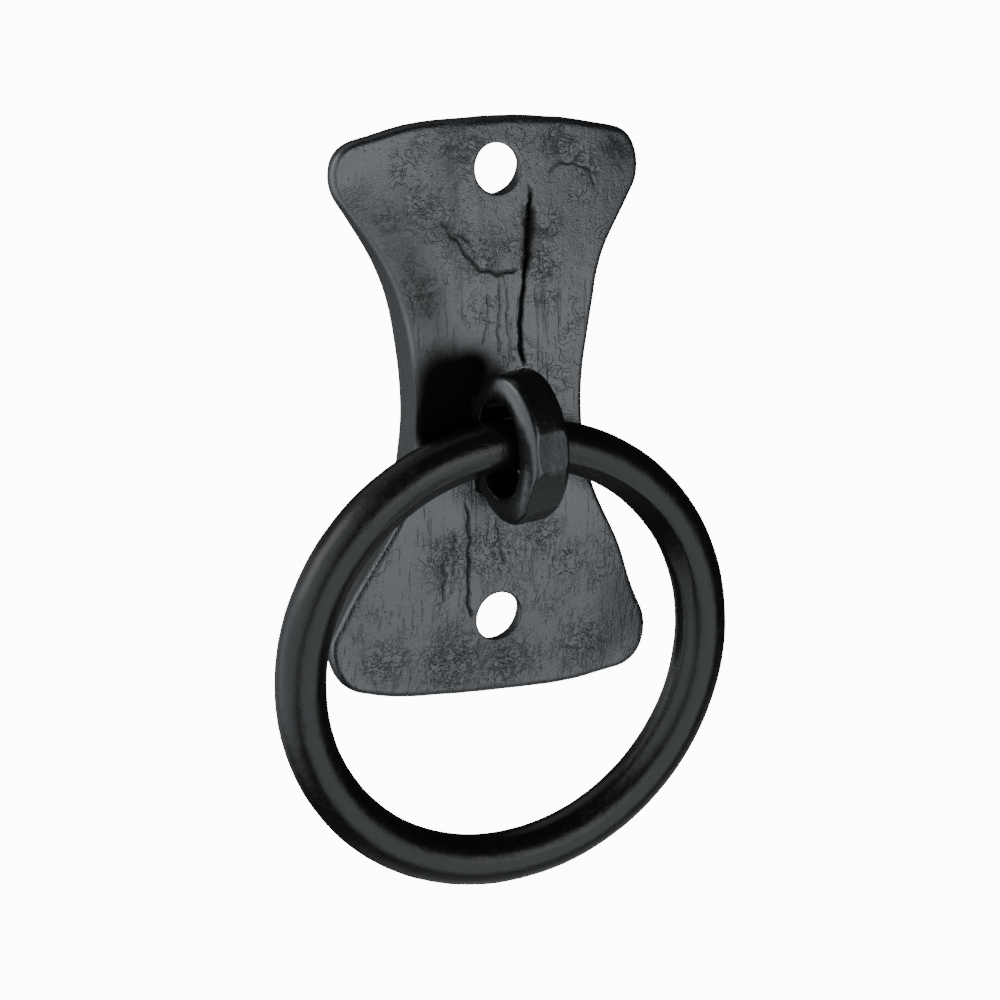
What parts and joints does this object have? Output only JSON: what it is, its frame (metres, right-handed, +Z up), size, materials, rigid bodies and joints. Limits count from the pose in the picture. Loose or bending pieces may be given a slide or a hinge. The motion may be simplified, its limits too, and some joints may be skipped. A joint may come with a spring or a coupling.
{
  "type": "door knocker",
  "caption": "Forged ring door knocker: a waisted back plate with screw holes, a strap eye tenoned through it and a round-bar ring that swings in the eye to strike the door.",
  "frame": {"origin": "midway between the two screw holes, on the flat back face of the plate", "axes": "+Z up along the plate, +Y into the door as the outward normal of the back face, +X to the right as seen from the front; the knocker faces -Y"},
  "size_m": [0.0762, 0.0233, 0.1206],
  "materials": {
    "plate_paint": "satin black paint over forged steel",
    "eye_paint": "satin black paint over forged steel",
    "ring_paint": "gloss black paint over forged steel"
  },
  "bodies": {
    "plate": {"back_plate": "plate_paint", "strap_eye": "eye_paint"},
    "ring": {"knocker_ring": "ring_paint"}
  },
  "joints": [
    {"name": "ring_swing", "type": "hinge", "parent": "plate", "child": "ring", "pos_m": [0, -0.0125, -0.0066], "axis": [-1, 0, 0], "range_deg": [0, 194]}
  ]
}
